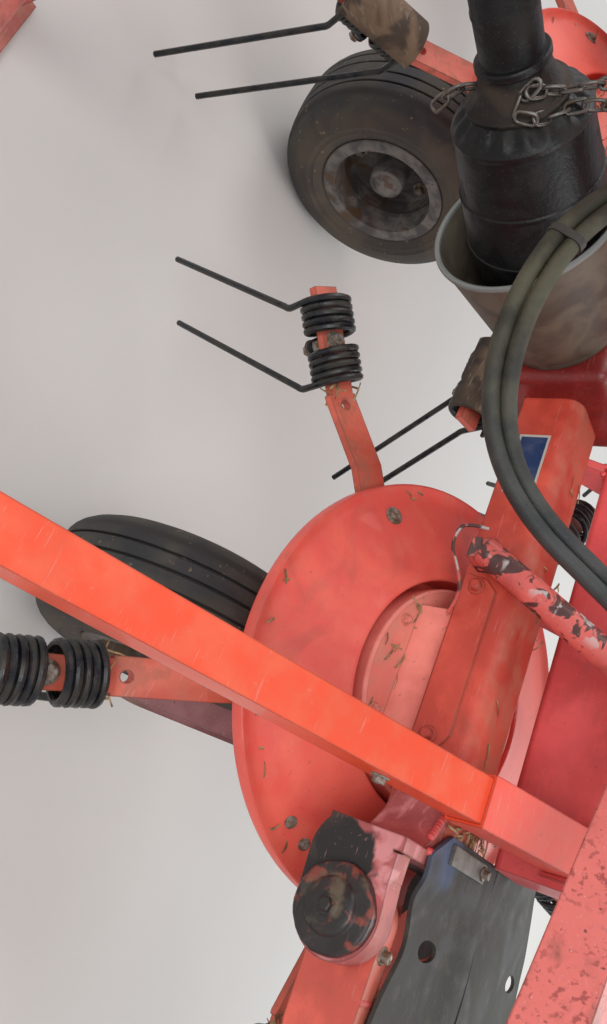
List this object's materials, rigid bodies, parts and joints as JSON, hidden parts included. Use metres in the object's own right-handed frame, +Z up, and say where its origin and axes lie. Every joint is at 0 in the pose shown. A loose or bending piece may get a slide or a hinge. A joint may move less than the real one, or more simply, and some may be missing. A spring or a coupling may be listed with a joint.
{
  "type": "hay tedder",
  "caption": "Mounted rotary hay tedder with tilted red rotors, double coil tines, folding wings, round guard bars and a guarded drive shaft.",
  "frame": {"origin": "on the ground under the middle of the machine's box", "axes": "+X to the right seen from the tractor, +Y to the rear, +Z up"},
  "size_m": [4.26, 1.831, 1.16],
  "materials": {
    "dish_red": "satin",
    "arm_steel": "satin",
    "tine_steel": "satin",
    "saddle_steel": "matt",
    "tyre": "matt",
    "rim_paint": "matt",
    "drum_paint": "matt",
    "leg_paint": "matt",
    "faded_red": "matt",
    "bright_red": "gloss",
    "cast_red": "matt",
    "shaft_plastic": "satin",
    "bare_steel": "satin",
    "cylinder_paint": "satin",
    "rod_chrome": "gloss",
    "rubber": "matt",
    "hose_rubber": "satin"
  },
  "bodies": {
    "frame": {"cover_clamps": "bare_steel", "drive_beam": "faded_red", "fold_pins": "bare_steel", "gear_drums_inner": "drum_paint", "gearbox": "cast_red", "guard_arms": "faded_red", "guard_bars": "bright_red", "guard_braces": "faded_red", "guard_chain": "bare_steel", "guard_rail": "bright_red", "hinge_brackets": "cast_red", "hose_lower": "hose_rubber", "hose_upper": "hose_rubber", "joint_flaps": "rubber", "main_beam": "faded_red", "shaft_bowl": "shaft_plastic", "shaft_guards": "shaft_plastic", "tongue": "faded_red", "wheel_legs_inner": "leg_paint"},
    "headstock": {"headstock": "faded_red", "top_link_mast": "faded_red"},
    "stand": {"parking_stand": "bare_steel"},
    "drive_shaft": {"drive_shaft": "bare_steel"},
    "rotor_outer_left": {"rotor_dish_outer_left": "dish_red", "tine_arms_outer_left": "arm_steel", "tines_outer_left": "tine_steel", "tine_saddles_outer_left": "saddle_steel"},
    "wheel_outer_left": {"tyre_outer_left": "tyre", "rim_outer_left": "rim_paint"},
    "rotor_inner_left": {"rotor_dish_inner_left": "dish_red", "tine_arms_inner_left": "arm_steel", "tines_inner_left": "tine_steel", "tine_saddles_inner_left": "saddle_steel"},
    "wheel_inner_left": {"tyre_inner_left": "tyre", "rim_inner_left": "rim_paint"},
    "rotor_inner_right": {"rotor_dish_inner_right": "dish_red", "tine_arms_inner_right": "arm_steel", "tines_inner_right": "tine_steel"},
    "wheel_inner_right": {"tyre_inner_right": "tyre", "rim_inner_right": "rim_paint"},
    "rotor_outer_right": {"rotor_dish_outer_right": "dish_red", "tine_arms_outer_right": "arm_steel", "tines_outer_right": "tine_steel", "tine_saddles_outer_right": "saddle_steel"},
    "wheel_outer_right": {"tyre_outer_right": "tyre", "rim_outer_right": "rim_paint"},
    "wing_left": {"wing_beam_left": "faded_red", "gear_drum_outer_left": "drum_paint", "wheel_leg_outer_left": "leg_paint", "joint_cover_left": "rubber", "guard_bow_left": "bright_red"},
    "barrel_left": {"cylinder_barrel_left": "cylinder_paint"},
    "rod_left": {"cylinder_rod_left": "rod_chrome"},
    "wing_right": {"wing_beam_right": "faded_red", "gear_drum_outer_right": "drum_paint", "wheel_leg_outer_right": "leg_paint", "joint_cover_right": "rubber", "guard_bow_right": "bright_red"},
    "barrel_right": {"cylinder_barrel_right": "cylinder_paint"},
    "rod_right": {"cylinder_rod_right": "rod_chrome"}
  },
  "joints": [
    {"name": "wing_fold_left", "type": "hinge", "parent": "frame", "child": "wing_left", "pos_m": [-0.74, 0.123, 0.655], "axis": [0, 1, 0], "range_deg": [-3, 90]},
    {"name": "barrel_swing_left", "type": "hinge", "parent": "frame", "child": "barrel_left", "pos_m": [-0.12, 0.343, 0.8], "axis": [0, 1, 0], "range_deg": [-12, 2]},
    {"name": "rod_slide_left", "type": "slide", "parent": "barrel_left", "child": "rod_left", "axis": [-0.9971, 0, 0.0762], "range_m": [-0.305, 0.02]},
    {"name": "wing_fold_right", "type": "hinge", "parent": "frame", "child": "wing_right", "pos_m": [0.74, 0.123, 0.655], "axis": [0, -1, 0], "range_deg": [-3, 90]},
    {"name": "barrel_swing_right", "type": "hinge", "parent": "frame", "child": "barrel_right", "pos_m": [0.12, 0.343, 0.8], "axis": [0, -1, 0], "range_deg": [-12, 2]},
    {"name": "rod_slide_right", "type": "slide", "parent": "barrel_right", "child": "rod_right", "axis": [0.9971, 0, 0.0762], "range_m": [-0.305, 0.02]},
    {"name": "rotor_spin_outer_left", "type": "hinge", "parent": "wing_left", "child": "rotor_outer_left", "pos_m": [-1.431, 0.183, 0.563], "axis": [0, -0.3256, 0.9455], "continuous": true},
    {"name": "wheel_roll_outer_left", "type": "hinge", "parent": "wing_left", "child": "wheel_outer_left", "pos_m": [-1.431, 0.103, 0.2025], "axis": [1, 0, 0], "continuous": true},
    {"name": "rotor_spin_inner_left", "type": "hinge", "parent": "frame", "child": "rotor_inner_left", "pos_m": [-0.477, 0.183, 0.563], "axis": [0, -0.3256, 0.9455], "continuous": true},
    {"name": "wheel_roll_inner_left", "type": "hinge", "parent": "frame", "child": "wheel_inner_left", "pos_m": [-0.477, 0.103, 0.2025], "axis": [1, 0, 0], "continuous": true},
    {"name": "rotor_spin_inner_right", "type": "hinge", "parent": "frame", "child": "rotor_inner_right", "pos_m": [0.477, 0.183, 0.563], "axis": [0, -0.3256, 0.9455], "continuous": true},
    {"name": "wheel_roll_inner_right", "type": "hinge", "parent": "frame", "child": "wheel_inner_right", "pos_m": [0.477, 0.103, 0.2025], "axis": [1, 0, 0], "continuous": true},
    {"name": "rotor_spin_outer_right", "type": "hinge", "parent": "wing_right", "child": "rotor_outer_right", "pos_m": [1.431, 0.183, 0.563], "axis": [0, -0.3256, 0.9455], "continuous": true},
    {"name": "wheel_roll_outer_right", "type": "hinge", "parent": "wing_right", "child": "wheel_outer_right", "pos_m": [1.431, 0.103, 0.2025], "axis": [1, 0, 0], "continuous": true},
    {"name": "shaft_turn", "type": "hinge", "parent": "frame", "child": "drive_shaft", "pos_m": [0, -0.047, 0.6625], "axis": [0, -0.9903, 0.1392], "continuous": true},
    {"name": "headstock_swivel", "type": "hinge", "parent": "frame", "child": "headstock", "pos_m": [0, -0.657, 0.9], "axis": [0, 0, 1], "range_deg": [-12, 12]},
    {"name": "stand_slide", "type": "slide", "parent": "frame", "child": "stand", "axis": [0, 0, 1], "range_m": [0, 0.35]}
  ],
  "couplings": [
    {"joint": "barrel_swing_left", "follows": "wing_fold_left", "ratio": -0.1167},
    {"joint": "rod_slide_left", "follows": "wing_fold_left", "m_per_rad": -0.1908},
    {"joint": "barrel_swing_right", "follows": "wing_fold_right", "ratio": -0.1167},
    {"joint": "rod_slide_right", "follows": "wing_fold_right", "m_per_rad": -0.1908},
    {"joint": "rotor_spin_inner_left", "follows": "rotor_spin_inner_right", "ratio": -1},
    {"joint": "rotor_spin_outer_right", "follows": "rotor_spin_inner_right", "ratio": -1},
    {"joint": "rotor_spin_outer_left", "follows": "rotor_spin_inner_right", "ratio": 1},
    {"joint": "shaft_turn", "follows": "rotor_spin_inner_right", "ratio": 3}
  ]
}
